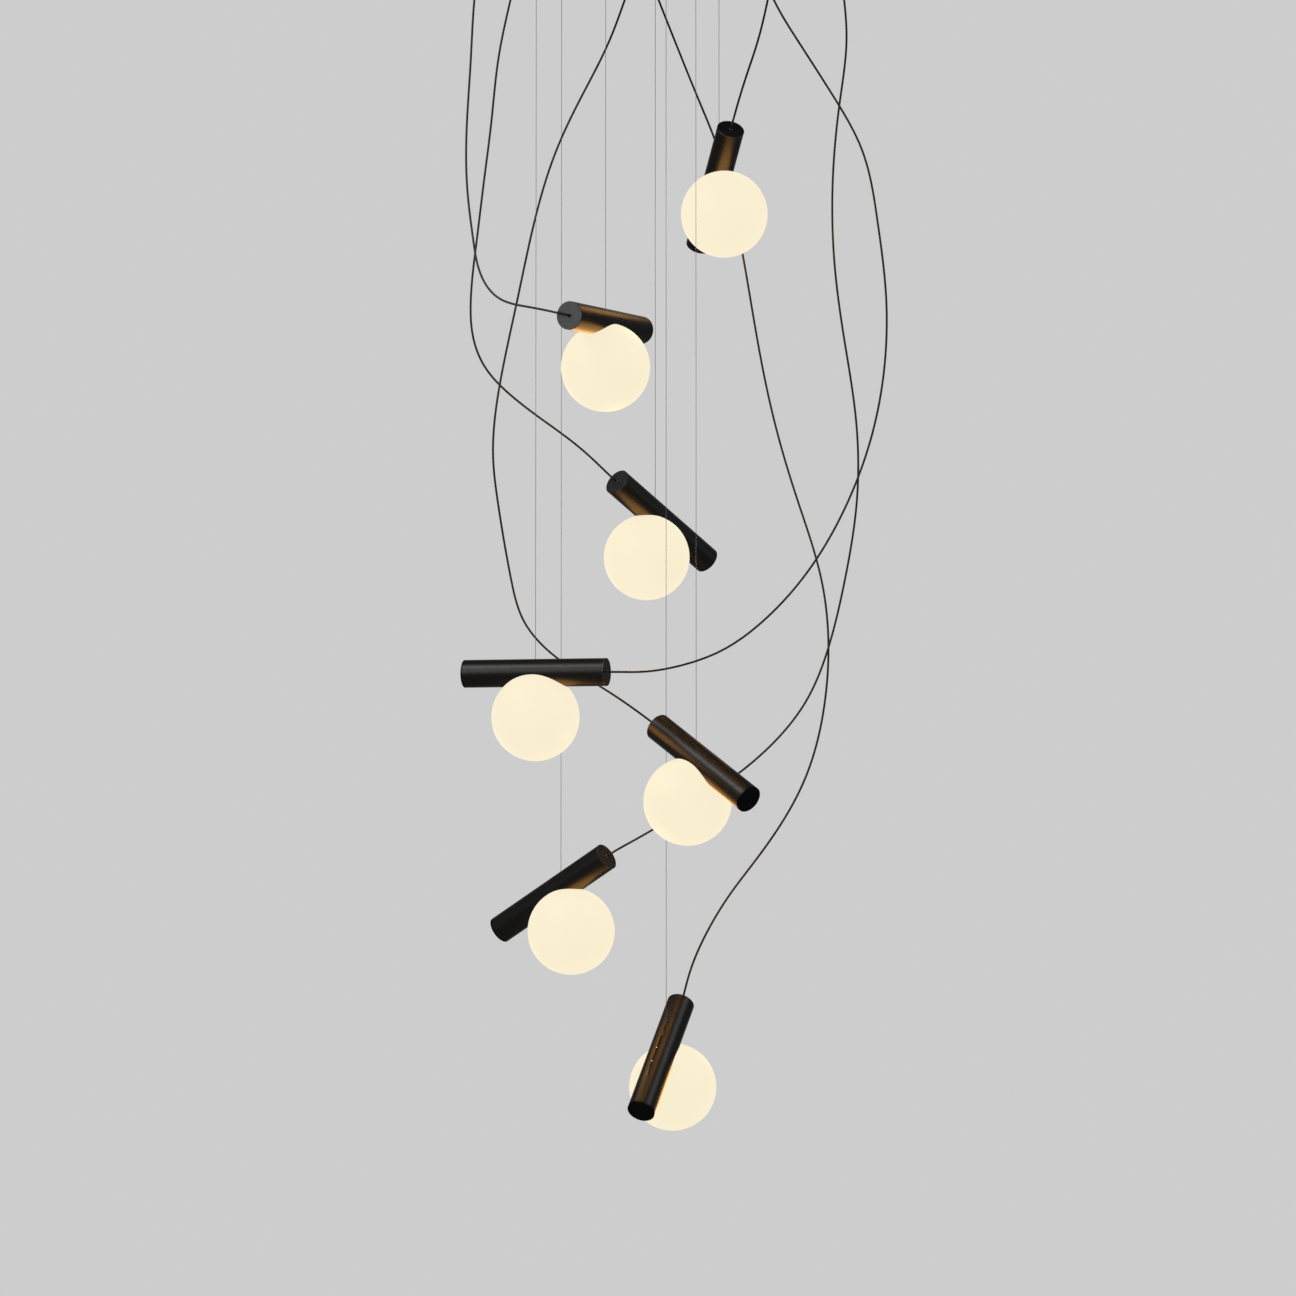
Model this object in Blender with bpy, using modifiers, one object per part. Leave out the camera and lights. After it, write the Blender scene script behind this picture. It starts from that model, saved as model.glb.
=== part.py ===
"""Cluster chandelier: seven tube-and-globe pendants hung at staggered heights from one round ceiling canopy.

Each pendant is a steel tube with a spherical scoop in its underside, in which an opal glass globe nests.
The tube hangs on one wire, whose ball end sits in a slider behind a slot in the tube's back. Moving the
slider along the slot sets the tilt, because the tube turns until its centre of mass is below the ball.
Metres, +Z up, ceiling at Z = 0.
"""
import math

import bmesh
import bpy
import numpy as np
from mathutils import Vector

# Clearances and modelling values shared by every piece
SEAT_GAP = 0.0003
OVERRUN = 0.004
WELD = 0.00001
TURN_STEPS = 20
SMALL_STEPS = 12
WIRE_STEPS = 8
SHARP_ANGLE = math.radians(32)

# Tube, measured over its end caps
PENDANT_LENGTH = 0.203
TUBE_RADIUS = 0.019
TUBE_WALL = 0.0015
SLOT_LENGTH = 0.102
SLOT_WIDTH = 0.0026

# End caps, each a full-width face with a spigot that plugs the tube
CAP_FACE = 0.002
SPIGOT_DEPTH = 0.006

# Opal globe, whose centre lies one radius below the tube's axis
GLOBE_RADIUS = 0.060
GLOBE_OFFSET = 0.060
GLASS_WALL = 0.0025
NECK_RADIUS = 0.013
GLOBE_RINGS = 8
GLOBE_INNER_RINGS = 6

# Light module, seated across the tube and reaching through the globe's neck
PLATE_LENGTH = 0.050
PLATE_THICKNESS = 0.003
PLATE_HEIGHT = 0.002
SHOULDER_RADIUS = 0.016
LENS_RADIUS = 0.0108
LENS_RINGS = 2
STEM_LENGTH = 0.0065
LIP_COUNT = 3
LIP_REACH = 0.0022
LIP_WIDTH = 0.005
LIP_HEIGHT = 0.0016
FIXING_RADIUS = 0.0011
FIXING_INSET = 0.0018

# Suspension wire with a ball at its foot and a stop ferrule at its head
WIRE_RADIUS = 0.0005
BALL_RADIUS = 0.0025
BALL_RINGS = 4
FERRULE_RADIUS = 0.0016
FERRULE_LENGTH = 0.006

# Slider, which carries the ball inside the tube; the wire may lean either way along the slot
PIVOT_DEPTH = 0.006
SLIDER_LENGTH = 0.016
SLIDER_WIDTH = 0.012
SLIDER_FLOOR = 0.004
LEAN_LIMIT = math.radians(50)

# Hanging pose: a tube tilts until its centre of mass, this far below the ball, is plumb
BALANCE_DROP = 0.0394
LONGEST_DROP = 1.527
CLUSTER_RADIUS = 0.180
# Wire place as shares of the cluster radius, drop to the ball as a share of the longest drop,
# heading of the cord end about the vertical and rise of the cord end, both in degrees
PENDANT_SHARES = (
    ((0.459, 0.308), 0.2117, -73.1, 45),
    ((-0.406, -0.810), 0.3673, -118.0, 0),
    ((-0.032, 0.818), 0.5217, -136.0, 30),
    ((-0.938, -0.311), 0.6735, -16.6, 0),
    ((0.274, -0.381), 0.7476, 133.8, 30),
    ((-0.756, 0.345), 0.8631, -31.8, 30),
    ((0.050, 0.194), 1.0, 67.5, 45),
)

# Ceiling canopy, a shallow pan that hangs on a bar
CANOPY_RADIUS = 0.270
CANOPY_HEIGHT = 0.045
CANOPY_WALL = 0.0015
CANOPY_FILLET = 0.006
FILLET_STEPS = 2
CANOPY_STEPS = 40
GRIP_RADIUS = 0.004
GRIP_LENGTH = 0.009
GLAND_RADIUS = 0.005
GLAND_LENGTH = 0.009

# Ceiling bar, bent down at both ends to meet the canopy's wall
BAR_WIDTH = 0.040
BAR_THICKNESS = 0.003
BAR_TAB = 0.022
BAR_KEYHOLE_SHARE = 0.78
KEYHOLE_RADIUS = 0.0035
KEYHOLE_LENGTH = 0.018
FEED_HOLE_RADIUS = 0.007
FEED_HOLE_SHARE = 0.14

# Driver and terminal block, screwed under the bar
DRIVER_LENGTH = 0.150
DRIVER_WIDTH = 0.052
DRIVER_HEIGHT = 0.024
DRIVER_EAR = 0.010
DRIVER_EAR_THICKNESS = 0.002
DRIVER_PLACE_SHARE = -0.38
TERMINAL_LENGTH = 0.056
TERMINAL_WIDTH = 0.020
TERMINAL_HEIGHT = 0.014
TERMINAL_POLES = 6
TERMINAL_GROOVE = 0.0016
TERMINAL_PLACE_SHARE = 0.50
SOFT_EDGE = 0.0015

# Power cords: entry into the canopy as shares of its radius, then the free route's points
CORD_RADIUS = 0.0015
CORD_PITCH = 0.090
CORD_SAG = 0.0009
CORD_FINE = 0.002
CORD_STRAIGHT = 0.014
CORD_INSIDE = 0.006
CORD_ENTRY_SHARES = (
    (0.593, 0.107),
    (-0.915, -0.156),
    (-0.730, 0.222),
    (0.481, -0.285),
    (-0.107, -0.011),
    (0.922, 0.111),
    (-0.067, 0.222),
)
CORD_ROUTES = (
    ((0.149, 0.025, -0.109), (0.136, 0.019, -0.163), (0.118, 0.013, -0.219)),
    ((-0.254, -0.050, -0.122), (-0.258, -0.065, -0.204), (-0.262, -0.090, -0.290), (-0.260, -0.130, -0.392),
     (-0.251, -0.160, -0.463), (-0.237, -0.190, -0.520), (-0.210, -0.213, -0.551), (-0.173, -0.227, -0.562)),
    ((-0.208, 0.059, -0.103), (-0.224, 0.055, -0.184), (-0.233, 0.050, -0.269), (-0.243, 0.045, -0.353),
     (-0.253, 0.041, -0.438), (-0.261, 0.039, -0.521), (-0.257, 0.041, -0.576), (-0.243, 0.045, -0.611),
     (-0.208, 0.053, -0.650), (-0.162, 0.065, -0.685), (-0.110, 0.080, -0.723)),
    ((0.157, -0.075, -0.126), (0.188, -0.071, -0.178), (0.240, -0.065, -0.259), (0.276, -0.061, -0.327),
     (0.297, -0.057, -0.423), (0.309, -0.055, -0.532), (0.309, -0.055, -0.587), (0.294, -0.057, -0.697),
     (0.257, -0.063, -0.806), (0.192, -0.071, -0.916), (0.141, -0.077, -0.971), (0.084, -0.083, -1.012),
     (0.027, -0.087, -1.033), (-0.020, -0.088, -1.041)),
    ((-0.049, -0.001, -0.113), (-0.069, 0.001, -0.166), (-0.110, 0.005, -0.248), (-0.142, 0.007, -0.317),
     (-0.172, 0.010, -0.414), (-0.196, 0.013, -0.524), (-0.219, 0.015, -0.635), (-0.229, 0.017, -0.745),
     (-0.223, 0.017, -0.800), (-0.204, 0.015, -0.910), (-0.187, 0.012, -0.966), (-0.154, 0.008, -1.007),
     (-0.109, 0.003, -1.040), (-0.053, -0.003, -1.076)),
    ((0.256, 0.033, -0.107), (0.259, 0.035, -0.160), (0.250, 0.039, -0.243), (0.240, 0.045, -0.353),
     (0.242, 0.051, -0.464), (0.256, 0.055, -0.575), (0.272, 0.057, -0.686), (0.273, 0.057, -0.797),
     (0.256, 0.055, -0.908), (0.232, 0.052, -1.005), (0.203, 0.049, -1.074), (0.161, 0.045, -1.129),
     (0.104, 0.041, -1.179), (0.042, 0.036, -1.221), (-0.011, 0.030, -1.254)),
    ((0.000, 0.070, -0.101), (0.021, 0.083, -0.152), (0.055, 0.103, -0.233), (0.085, 0.117, -0.308),
     (0.103, 0.123, -0.378), (0.118, 0.125, -0.455), (0.137, 0.121, -0.568), (0.160, 0.113, -0.681),
     (0.192, 0.103, -0.793), (0.225, 0.091, -0.906), (0.234, 0.081, -0.990), (0.229, 0.071, -1.073),
     (0.200, 0.057, -1.184), (0.132, 0.043, -1.295), (0.091, 0.035, -1.350), (0.053, 0.023, -1.418)),
)

# Colours read as linear values, with roughness and metallic
FINISHES = {
    "black_bronze": ((0.012, 0.010, 0.009), 0.38, 0.9),
    "cap_grey": ((0.058, 0.058, 0.058), 0.5, 0.6),
    "cap_black": ((0.006, 0.006, 0.006), 0.5, 0.6),
    "opal_glass": ((0.95, 0.86, 0.65), 0.25, 0.0),
    "module_aluminium": ((0.60, 0.60, 0.60), 0.4, 1.0),
    "steel_wire": ((0.45, 0.45, 0.45), 0.35, 1.0),
    "slider_rubber": ((0.02, 0.02, 0.02), 0.7, 0.0),
    "black_cord": ((0.01, 0.01, 0.01), 0.45, 0.0),
    "canopy_black": ((0.012, 0.011, 0.010), 0.4, 0.7),
    "zinc_steel": ((0.50, 0.50, 0.50), 0.45, 1.0),
    "driver_white": ((0.75, 0.75, 0.72), 0.5, 0.0),
    "terminal_cream": ((0.60, 0.58, 0.50), 0.5, 0.0),
}

# Values worked out from the sizes above
BORE_RADIUS = TUBE_RADIUS - TUBE_WALL
SEATED_RADIUS = BORE_RADIUS - SEAT_GAP
PIVOT_HEIGHT = TUBE_RADIUS - PIVOT_DEPTH
PAN_FLOOR = -CANOPY_HEIGHT + CANOPY_WALL
PAN_RADIUS = CANOPY_RADIUS - CANOPY_WALL


def start_collections():
    """Clears the scene and gives the two collections, for parts and for cutters."""
    for obj in list(bpy.data.objects):
        bpy.data.objects.remove(obj)
    made = []
    for name in ("cluster_chandelier", "cutters"):
        collection = bpy.data.collections.new(name)
        bpy.context.scene.collection.children.link(collection)
        made.append(collection)
    made[1].hide_render = True
    return made


PARTS, CUTTERS = start_collections()


def material(name):
    """Principled material of one finish."""
    found = bpy.data.materials.get(name)
    if found:
        return found
    colour, roughness, metallic = FINISHES[name]
    made = bpy.data.materials.new(name)
    made.use_nodes = True
    shader = made.node_tree.nodes["Principled BSDF"]
    shader.inputs["Base Color"].default_value = (*colour, 1)
    shader.inputs["Roughness"].default_value = roughness
    shader.inputs["Metallic"].default_value = metallic
    return made


def helper(name, mesh):
    """Hidden working object in the cutters collection."""
    obj = bpy.data.objects.new(f"{name}_shape", mesh)
    CUTTERS.objects.link(obj)
    obj.hide_render = True
    obj.display_type = "WIRE"
    return obj


def turned(name, outline, steps=TURN_STEPS, closed=False):
    """Solid of revolution about Z from (radius, height) points that run down the outer side."""
    mesh = bpy.data.meshes.new(name)
    count = len(outline)
    edges = [(i, (i + 1) % count) for i in range(count if closed else count - 1)]
    mesh.from_pydata([(radius, 0, height) for radius, height in outline], edges, [])
    obj = helper(name, mesh)
    screw = obj.modifiers.new("turn", "SCREW")
    screw.steps = screw.render_steps = steps
    screw.use_merge_vertices = True
    screw.merge_threshold = WELD
    return obj


def block(name, size, centre, edge=0):
    """Box of the given size about a centre, with bevelled edges if asked."""
    mesh = bpy.data.meshes.new(name)
    cage = bmesh.new()
    bmesh.ops.create_cube(cage, size=1)
    bmesh.ops.scale(cage, vec=size, verts=cage.verts)
    bmesh.ops.translate(cage, vec=centre, verts=cage.verts)
    cage.to_mesh(mesh)
    cage.free()
    obj = helper(name, mesh)
    if edge:
        bevel = obj.modifiers.new("edge", "BEVEL")
        bevel.width = edge
        bevel.segments = 1
    return obj


def plate(name, outline, thickness):
    """Flat XY outline given half its thickness each way along Z, as a mesh."""
    curve = bpy.data.curves.new(name, "CURVE")
    curve.dimensions = "2D"
    curve.fill_mode = "BOTH"
    curve.extrude = thickness / 2
    spline = curve.splines.new("POLY")
    spline.points.add(len(outline) - 1)
    for point, (x, y) in zip(spline.points, outline):
        point.co = (x, y, 0, 1)
    spline.use_cyclic_u = True
    return as_mesh(helper(name, curve))


def as_mesh(curve_object):
    """The curve's solid as a mesh object in the same place, with its caps welded on."""
    mesh = evaluated_mesh(curve_object)
    made = helper("solid", mesh)
    made.matrix_world = curve_object.matrix_world
    bpy.data.objects.remove(curve_object)
    return made


def evaluated_mesh(obj):
    """Copy of the object's evaluated mesh, welded and facing out."""
    bpy.context.view_layer.update()
    graph = bpy.context.evaluated_depsgraph_get()
    mesh = bpy.data.meshes.new_from_object(obj.evaluated_get(graph))
    cage = bmesh.new()
    cage.from_mesh(mesh)
    bmesh.ops.remove_doubles(cage, verts=cage.verts, dist=WELD)
    bmesh.ops.recalc_face_normals(cage, faces=cage.faces)
    cage.to_mesh(mesh)
    cage.free()
    return mesh


def arc(radius, start, end, steps, centre=(0, 0)):
    """Points of a circle's arc, both ends included."""
    angles = (start + (end - start) * i / steps for i in range(steps + 1))
    return [(centre[0] + radius * math.cos(a), centre[1] + radius * math.sin(a)) for a in angles]


def stadium(length, radius):
    """Outline with round ends, centred, its length along X."""
    reach = length / 2 - radius
    right = arc(radius, -math.pi / 2, math.pi / 2, SMALL_STEPS // 2, (reach, 0))
    return right + [(-x, -y) for x, y in right]


def boolean(obj, other, operation):
    """Joins or cuts with another working object."""
    modifier = obj.modifiers.new(operation.lower(), "BOOLEAN")
    modifier.operation = operation
    modifier.object = other
    return obj


def grouped(name, objects):
    """One helper that holds several separate shapes, for a single cut or join."""
    cage = bmesh.new()
    for obj in objects:
        mesh = evaluated_mesh(obj)
        mesh.transform(obj.matrix_world)
        cage.from_mesh(mesh)
        bpy.data.objects.remove(obj)
    mesh = bpy.data.meshes.new(name)
    cage.to_mesh(mesh)
    cage.free()
    return helper(name, mesh)


def finished(obj, finish):
    """The working object's final mesh, smooth where it is round, with its material."""
    mesh = evaluated_mesh(obj)
    mesh.materials.clear()
    mesh.materials.append(material(finish))
    mesh.shade_smooth()
    mesh.set_sharp_from_angle(angle=SHARP_ANGLE)
    return mesh


def clear_helpers():
    for obj in list(CUTTERS.objects):
        bpy.data.objects.remove(obj)


def put(name, mesh, parent=None, location=(0, 0, 0), rotation=(0, 0, 0)):
    """A finished part in the scene, with its place given in its parent's axes."""
    obj = bpy.data.objects.new(name, mesh)
    PARTS.objects.link(obj)
    obj.parent = parent
    obj.location = location
    obj.rotation_euler = rotation
    return obj


def tube_mesh():
    """Tube along X, scooped below to the globe's curve and slotted along its back."""
    half = PENDANT_LENGTH / 2 - CAP_FACE - SEAT_GAP
    outline = [(TUBE_RADIUS, half), (TUBE_RADIUS, -half), (BORE_RADIUS, -half), (BORE_RADIUS, half)]
    tube = turned("tube", outline, closed=True)
    tube.rotation_euler.y = math.pi / 2
    skin = globe_skin(SEAT_GAP)
    scoop = turned("scoop", [(0, skin[0][1])] + skin)
    scoop.location.z = -GLOBE_OFFSET
    slot = plate("slot", stadium(SLOT_LENGTH, SLOT_WIDTH / 2), TUBE_WALL + 2 * OVERRUN)
    slot.location.z = TUBE_RADIUS - TUBE_WALL / 2
    boolean(tube, scoop, "DIFFERENCE")
    boolean(tube, slot, "DIFFERENCE")
    mesh = evaluated_mesh(tube)
    mesh.transform(tube.matrix_world)
    return finished(helper("tube", mesh), "black_bronze")


def globe_skin(gap=0):
    """Outer outline of the globe from its neck to its foot, swollen by a gap square to its facets."""
    neck = math.acos(NECK_RADIUS / GLOBE_RADIUS)
    half_ring = (neck + math.pi / 2) / GLOBE_RINGS / 2
    radius = GLOBE_RADIUS + gap / math.cos(half_ring) / math.cos(math.pi / TURN_STEPS)
    skin = arc(radius, neck, -math.pi / 2, GLOBE_RINGS)
    return skin[:-1] + [(0, -radius)]


def globe_bore():
    """Inner outline of the globe from its foot to its neck."""
    radius = GLOBE_RADIUS - GLASS_WALL
    return [(0, -radius)] + arc(radius, -math.pi / 2, math.acos(NECK_RADIUS / radius), GLOBE_INNER_RINGS)[1:]


def globe_mesh():
    """Hollow glass globe about its centre, with an open neck on top."""
    return finished(turned("globe", globe_bore() + globe_skin()), "opal_glass")


def cap_mesh(name, finish, bore=0):
    """End cap with its outer face at Z = 0 and its spigot below, bored for a cord if asked."""
    foot = -CAP_FACE - SPIGOT_DEPTH
    rim = [(bore, 0), (TUBE_RADIUS, 0), (TUBE_RADIUS, -CAP_FACE)]
    spigot = [(SEATED_RADIUS, -CAP_FACE), (SEATED_RADIUS, foot), (bore, foot)]
    return finished(turned(name, rim + spigot, closed=bore > 0), finish)


def module_mesh():
    """Light module about the tube's axis: a plate across the bore, a stem through the neck and a lens."""
    top = PLATE_HEIGHT + PLATE_THICKNESS
    middle = PLATE_HEIGHT + PLATE_THICKNESS / 2
    shoulder = globe_skin()[0][1] - GLOBE_OFFSET + SEAT_GAP
    stem = NECK_RADIUS - SEAT_GAP
    foot = shoulder - STEM_LENGTH
    lens = arc(LENS_RADIUS, 0, -math.pi / 2, LENS_RINGS, (0, foot))
    shank = [(0, middle), (SHOULDER_RADIUS, middle), (SHOULDER_RADIUS, shoulder), (stem, shoulder)]
    outline = shank + [(stem, foot)] + lens[:-1] + [(0, foot - LENS_RADIUS)]
    body = turned("body", outline, SMALL_STEPS)
    half_width = math.sqrt((SEATED_RADIUS * math.cos(math.pi / TURN_STEPS)) ** 2 - top**2)
    module = block("light_module", (PLATE_LENGTH, 2 * half_width, PLATE_THICKNESS), (0, 0, middle))
    boolean(module, body, "UNION")
    reach = stem + LIP_REACH
    wall, rim = globe_bore()[-2:]
    slope = (rim[1] - wall[1]) / (wall[0] - rim[0])
    drop = (reach / math.cos(math.pi / TURN_STEPS) - rim[0]) * slope + SEAT_GAP * math.hypot(1, slope)
    lip_top = rim[1] - drop - GLOBE_OFFSET
    for i in range(LIP_COUNT):
        lip = block(f"lip_{i}", (reach, LIP_WIDTH, LIP_HEIGHT), (reach / 2, 0, lip_top - LIP_HEIGHT / 2))
        lip.rotation_euler.z = 2 * math.pi * i / LIP_COUNT + math.pi / 2
        boolean(module, lip, "UNION")
    for side in (-1, 1):
        hole = turned("hole", bar_outline(FIXING_RADIUS, top + OVERRUN, foot), WIRE_STEPS)
        hole.location.x = side * (SHOULDER_RADIUS - FIXING_INSET)
        boolean(module, hole, "DIFFERENCE")
    return finished(module, "module_aluminium")


def bar_outline(radius, top, foot):
    """Outline of a plain round bar between two heights."""
    return [(0, top), (radius, top), (radius, foot), (0, foot)]


def slider_mesh():
    """Slider about the ball: top curved to the bore, a socket open below, and a fan for the wire."""
    half = SLIDER_LENGTH / 2
    curve = turned("bore", bar_outline(SEATED_RADIUS, half, -half))
    curve.rotation_euler.y = math.pi / 2
    curve.location.z = -PIVOT_HEIGHT
    rise = SEATED_RADIUS - PIVOT_HEIGHT
    height = rise + SLIDER_FLOOR + OVERRUN
    body_size = (SLIDER_LENGTH - SEAT_GAP, SLIDER_WIDTH, height)
    body = block("slider", body_size, (0, 0, height / 2 - SLIDER_FLOOR))
    socket_radius = BALL_RADIUS + SEAT_GAP
    dome = arc(socket_radius, math.pi / 2, 0, FILLET_STEPS)[1:]
    foot = -SLIDER_FLOOR - OVERRUN
    socket = turned("socket", [(0, socket_radius)] + dome + [(socket_radius, foot), (0, foot)], WIRE_STEPS)
    boolean(body, curve, "INTERSECT")
    boolean(body, socket, "DIFFERENCE")
    boolean(body, fan_cutter(rise + OVERRUN), "DIFFERENCE")
    return finished(body, "slider_rubber")


def fan_cutter(height):
    """Wedge in the XZ plane that leaves a seat gap beside the wire at its full lean each way."""
    clear = WIRE_RADIUS + SEAT_GAP
    tip = -clear / math.sin(LEAN_LIMIT)
    reach = (height - tip) * math.tan(LEAN_LIMIT)
    fan = plate("fan", [(0, tip), (reach, height), (-reach, height)], 2 * clear)
    fan.rotation_euler.x = math.pi / 2
    return fan


def wire_mesh(drop):
    """Wire about its ball, up through the canopy's floor to a ferrule that rests on it."""
    seat = drop + PAN_FLOOR + SEAT_GAP
    neck = math.acos(WIRE_RADIUS / BALL_RADIUS)
    ball = arc(BALL_RADIUS, neck, -math.pi / 2, BALL_RINGS)
    outline = [
        (0, seat + FERRULE_LENGTH),
        (FERRULE_RADIUS, seat + FERRULE_LENGTH),
        (FERRULE_RADIUS, seat),
        (WIRE_RADIUS, seat),
    ]
    return finished(turned("wire", outline + ball[:-1] + [(0, -BALL_RADIUS)], WIRE_STEPS), "steel_wire")


def canopy_mesh(wire_places, cord_places):
    """Shallow pan with a grip under each wire hole and a gland under each cord hole."""
    centre = (CANOPY_RADIUS - CANOPY_FILLET, CANOPY_FILLET - CANOPY_HEIGHT)
    outer = arc(CANOPY_FILLET, 0, -math.pi / 2, FILLET_STEPS, centre)
    inner = arc(CANOPY_FILLET - CANOPY_WALL, -math.pi / 2, 0, FILLET_STEPS, centre)
    brim = [(PAN_RADIUS, -SEAT_GAP), (CANOPY_RADIUS, -SEAT_GAP)]
    pan = turned("canopy", [(0, PAN_FLOOR)] + inner + brim + outer + [(0, -CANOPY_HEIGHT)], CANOPY_STEPS)
    bosses = []
    holes = []
    kinds = (
        (wire_places, GRIP_RADIUS, GRIP_LENGTH, WIRE_RADIUS),
        (cord_places, GLAND_RADIUS, GLAND_LENGTH, CORD_RADIUS),
    )
    for places, radius, length, core in kinds:
        for place in places:
            foot = -CANOPY_HEIGHT - length
            boss = turned("boss", bar_outline(radius, PAN_FLOOR - CANOPY_WALL / 2, foot), WIRE_STEPS)
            bore = bar_outline(core + SEAT_GAP, PAN_FLOOR + OVERRUN, foot - OVERRUN)
            hole = turned("hole", bore, WIRE_STEPS)
            for obj, kept in ((boss, bosses), (hole, holes)):
                obj.location.x, obj.location.y = place
                kept.append(obj)
    boolean(pan, grouped("bosses", bosses), "UNION")
    boolean(pan, grouped("holes", holes), "DIFFERENCE")
    return finished(pan, "canopy_black")


def bar_mesh():
    """Ceiling bar along X with its ends bent down, keyholes for ceiling screws and a feed hole."""
    inside = PAN_RADIUS * math.cos(math.pi / CANOPY_STEPS) - SEAT_GAP
    reach = math.sqrt(inside**2 - (BAR_WIDTH / 2) ** 2)
    outline = [
        (-reach, 0),
        (-reach, -BAR_TAB),
        (-reach + BAR_THICKNESS, -BAR_TAB),
        (-reach + BAR_THICKNESS, -BAR_THICKNESS),
    ]
    outline += [(-x, z) for x, z in reversed(outline)]
    bar = plate("ceiling_bar", outline, BAR_WIDTH)
    bar.rotation_euler.x = math.pi / 2
    cutters = []
    for side in (-1, 1):
        keyhole = plate("keyhole", stadium(KEYHOLE_LENGTH, KEYHOLE_RADIUS), BAR_THICKNESS + 2 * OVERRUN)
        keyhole.location = (side * BAR_KEYHOLE_SHARE * reach, 0, -BAR_THICKNESS / 2)
        cutters.append(keyhole)
    feed = turned("feed", bar_outline(FEED_HOLE_RADIUS, OVERRUN, -BAR_THICKNESS - OVERRUN), SMALL_STEPS)
    feed.location.x = FEED_HOLE_SHARE * reach
    cutters.append(feed)
    boolean(bar, grouped("bar_cutters", cutters), "DIFFERENCE")
    mesh = evaluated_mesh(bar)
    mesh.transform(bar.matrix_world)
    return finished(helper("ceiling_bar", mesh), "zinc_steel")


def driver_mesh():
    """Closed driver housing with a thin fixing ear at each end, top face at Z = 0."""
    body_size = (DRIVER_LENGTH, DRIVER_WIDTH, DRIVER_HEIGHT)
    body = block("driver", body_size, (0, 0, -DRIVER_HEIGHT / 2), SOFT_EDGE)
    ear_size = (DRIVER_LENGTH + 2 * DRIVER_EAR, BAR_WIDTH / 2, DRIVER_EAR_THICKNESS)
    ears = block("ears", ear_size, (0, 0, -DRIVER_EAR_THICKNESS / 2 - SEAT_GAP))
    boolean(body, ears, "UNION")
    for side in (-1, 1):
        outline = bar_outline(KEYHOLE_RADIUS / 2, OVERRUN, -DRIVER_EAR_THICKNESS - OVERRUN)
        hole = turned("hole", outline, SMALL_STEPS)
        hole.location.x = side * (DRIVER_LENGTH + DRIVER_EAR) / 2
        boolean(body, hole, "DIFFERENCE")
    return finished(body, "driver_white")


def terminal_mesh():
    """Terminal block with a groove between its poles, top face at Z = 0."""
    body_size = (TERMINAL_LENGTH, TERMINAL_WIDTH, TERMINAL_HEIGHT)
    body = block("terminal", body_size, (0, 0, -TERMINAL_HEIGHT / 2), TERMINAL_GROOVE / 2)
    pitch = TERMINAL_LENGTH / TERMINAL_POLES
    for i in range(1, TERMINAL_POLES):
        size = (TERMINAL_GROOVE, TERMINAL_WIDTH + 2 * OVERRUN, 2 * TERMINAL_GROOVE)
        groove = block("groove", size, (i * pitch - TERMINAL_LENGTH / 2, 0, -TERMINAL_HEIGHT))
        boolean(body, groove, "DIFFERENCE")
    return finished(body, "terminal_cream")


def smooth_route(points):
    """Close, even points on the natural cubic spline through a route, by length."""
    knots = np.array(points, float)
    spans = np.linalg.norm(np.diff(knots, axis=0), axis=1)
    at = np.concatenate([[0], np.cumsum(spans)])
    size = len(knots)
    system = np.eye(size)
    right = np.zeros((size, 3))
    for i in range(1, size - 1):
        before, after = spans[i - 1], spans[i]
        system[i, i - 1 : i + 2] = before, 2 * (before + after), after
        right[i] = 6 * ((knots[i + 1] - knots[i]) / after - (knots[i] - knots[i - 1]) / before)
    bends = np.linalg.solve(system, right)
    made = []
    for t in np.linspace(0, at[-1], round(at[-1] / CORD_FINE)):
        i = min(int(np.searchsorted(at, t, side="right")) - 1, size - 2)
        span = spans[i]
        a = (at[i + 1] - t) / span
        b = (t - at[i]) / span
        sag = ((a**3 - a) * bends[i] + (b**3 - b) * bends[i + 1]) * span**2 / 6
        made.append(a * knots[i] + b * knots[i + 1] + sag)
    return np.array(made)


def thinned(points):
    """Fewer of a smooth route's points, closest where it bends most, so that no chord leaves it by much."""
    steps = np.linalg.norm(np.diff(points, axis=0), axis=1)
    ways = np.gradient(points, axis=0)
    ways /= np.linalg.norm(ways, axis=1)[:, None]
    bend = np.linalg.norm(np.diff(ways, axis=0), axis=1) / steps
    need = np.concatenate([[0], np.cumsum(steps * (np.sqrt(bend / (8 * CORD_SAG)) + 1 / CORD_PITCH))])
    wanted = np.linspace(0, need[-1], math.ceil(need[-1]) + 1)
    return np.stack([np.interp(wanted, need, points[:, k]) for k in range(3)], axis=1)


def cord_object(name, entry, route, cap_face, outward):
    """Power cord from inside its canopy gland, down its free route, into the cap of its pendant."""
    gland = -CANOPY_HEIGHT - GLAND_LENGTH
    head = Vector((*entry, PAN_FLOOR + CORD_INSIDE))
    top = Vector((*entry, gland - CORD_RADIUS))
    foot = cap_face - outward * CORD_INSIDE
    end = cap_face + outward * CORD_STRAIGHT
    path = [head, *thinned(smooth_route([top, *route, end])), foot]
    curve = bpy.data.curves.new(name, "CURVE")
    curve.dimensions = "3D"
    curve.bevel_depth = CORD_RADIUS
    curve.bevel_resolution = 2
    curve.use_fill_caps = True
    spline = curve.splines.new("POLY")
    spline.points.add(len(path) - 1)
    for point, place in zip(spline.points, path):
        point.co = (*place, 1)
    curve.materials.append(material("black_cord"))
    obj = bpy.data.objects.new(name, curve)
    PARTS.objects.link(obj)
    return obj


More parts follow.
